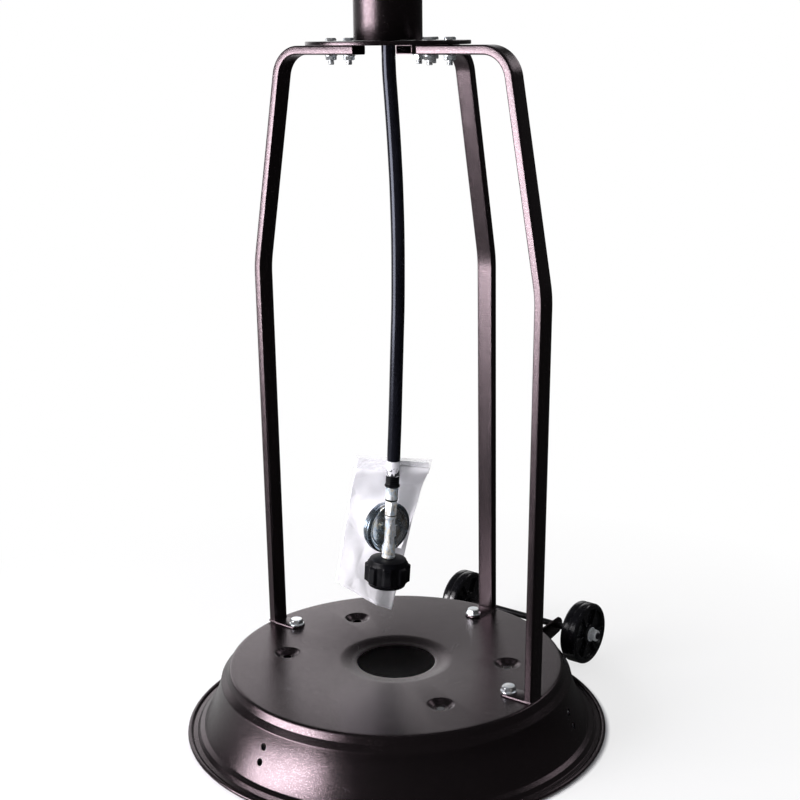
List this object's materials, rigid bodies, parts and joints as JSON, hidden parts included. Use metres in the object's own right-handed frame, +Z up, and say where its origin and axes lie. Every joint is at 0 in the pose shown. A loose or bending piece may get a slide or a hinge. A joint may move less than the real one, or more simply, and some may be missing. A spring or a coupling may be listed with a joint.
{
  "type": "patio heater",
  "caption": "Free-standing gas patio heater: round spun base with wheels, open bent-tube legs, flanged post, hanging gas hose with regulator, slotted emitter head and dish reflector.",
  "frame": {"origin": "centre of the base dish's rolled edge, on the floor under the post's axis", "axes": "+Z up along the post, -Y towards the front where the control knob faces, +X to the right seen from the front"},
  "size_m": [0.8128, 0.8106, 2.2112],
  "materials": {
    "powder_coat": "satin bronze-black powder coat",
    "zinc": "bright zinc plate",
    "black_plastic": "black moulded plastic",
    "wheel_plastic": "glossy black plastic",
    "black_steel": "black oxide",
    "black_rubber": "smooth black rubber",
    "brass": "machined",
    "white_sleeve": "white film",
    "paper": "plain",
    "stainless": "brushed",
    "aluminium": "satin",
    "red_plastic": "glossy red plastic"
  },
  "bodies": {
    "stand": {"base_dish": "powder_coat", "leg_left": "powder_coat", "leg_rear": "powder_coat", "leg_right": "powder_coat", "foot_bolt_left": "zinc", "foot_bolt_rear": "zinc", "foot_bolt_right": "zinc", "foot_nut_left": "zinc", "foot_nut_rear": "zinc", "foot_nut_right": "zinc", "post_flange": "powder_coat", "flange_bolt_left_inner": "zinc", "flange_bolt_left_outer": "zinc", "flange_bolt_rear_inner": "zinc", "flange_bolt_rear_outer": "zinc", "flange_bolt_right_inner": "zinc", "flange_bolt_right_outer": "zinc", "flange_nut_left_inner": "zinc", "flange_nut_left_outer": "zinc", "flange_nut_rear_inner": "zinc", "flange_nut_rear_outer": "zinc", "flange_nut_right_inner": "zinc", "flange_nut_right_outer": "zinc", "post": "powder_coat", "wheel_axle": "black_steel", "axle_nut_left": "zinc", "axle_nut_right": "zinc", "wheel_bracket": "powder_coat", "bracket_screw_left": "zinc", "bracket_screw_right": "zinc", "hose_in_post": "black_rubber", "gas_hose": "black_rubber", "hose_sleeve": "white_sleeve", "hose_ferrule": "black_plastic", "hose_fitting": "zinc", "regulator_body": "zinc", "regulator_cover": "zinc", "instruction_leaflet": "paper", "control_bowl": "powder_coat", "gas_valve": "brass", "igniter_housing": "black_plastic", "burner_deck": "stainless", "burner_tube": "stainless", "burner_head": "stainless", "pilot_tube": "stainless", "emitter_screen": "stainless", "emitter_cap": "stainless", "reflector": "aluminium", "reflector_spacer_1": "stainless", "reflector_spacer_2": "stainless", "reflector_spacer_3": "stainless", "reflector_wing_nut_1": "zinc", "reflector_wing_nut_2": "zinc", "reflector_wing_nut_3": "zinc"},
    "left_wheel": {"wheel_left": "wheel_plastic"},
    "right_wheel": {"wheel_right": "wheel_plastic"},
    "handwheel": {"regulator_handwheel": "black_plastic"},
    "spindle": {"valve_spindle": "brass"},
    "knob": {"control_knob": "black_plastic"},
    "button": {"igniter_button": "red_plastic"}
  },
  "joints": [
    {"name": "left_wheel_spin", "type": "hinge", "parent": "stand", "child": "left_wheel", "pos_m": [0.15578, 0.19655, 0.0381], "axis": [-0.7837, 0.6211, 0], "continuous": true},
    {"name": "right_wheel_spin", "type": "hinge", "parent": "stand", "child": "right_wheel", "pos_m": [0.15578, 0.19655, 0.0381], "axis": [-0.7837, 0.6211, 0], "continuous": true},
    {"name": "handwheel_turn", "type": "hinge", "parent": "stand", "child": "handwheel", "pos_m": [-0.00711, 0, 0.18989], "axis": [-0.0663, 0, -0.9978], "continuous": true},
    {"name": "knob_press", "type": "slide", "parent": "stand", "child": "spindle", "axis": [0, 1, 0], "range_m": [0, 0.003], "stiffness_N_per_m": 1500, "springref_m": -0.002},
    {"name": "knob_turn", "type": "hinge", "parent": "spindle", "child": "knob", "pos_m": [0, -0.0982, 1.8282], "axis": [0, -1, 0], "range_deg": [0, 120]},
    {"name": "igniter_press", "type": "slide", "parent": "stand", "child": "button", "axis": [-0.5299, 0.848, 0], "range_m": [0, 0.0035], "stiffness_N_per_m": 1200, "springref_m": -0.002}
  ]
}
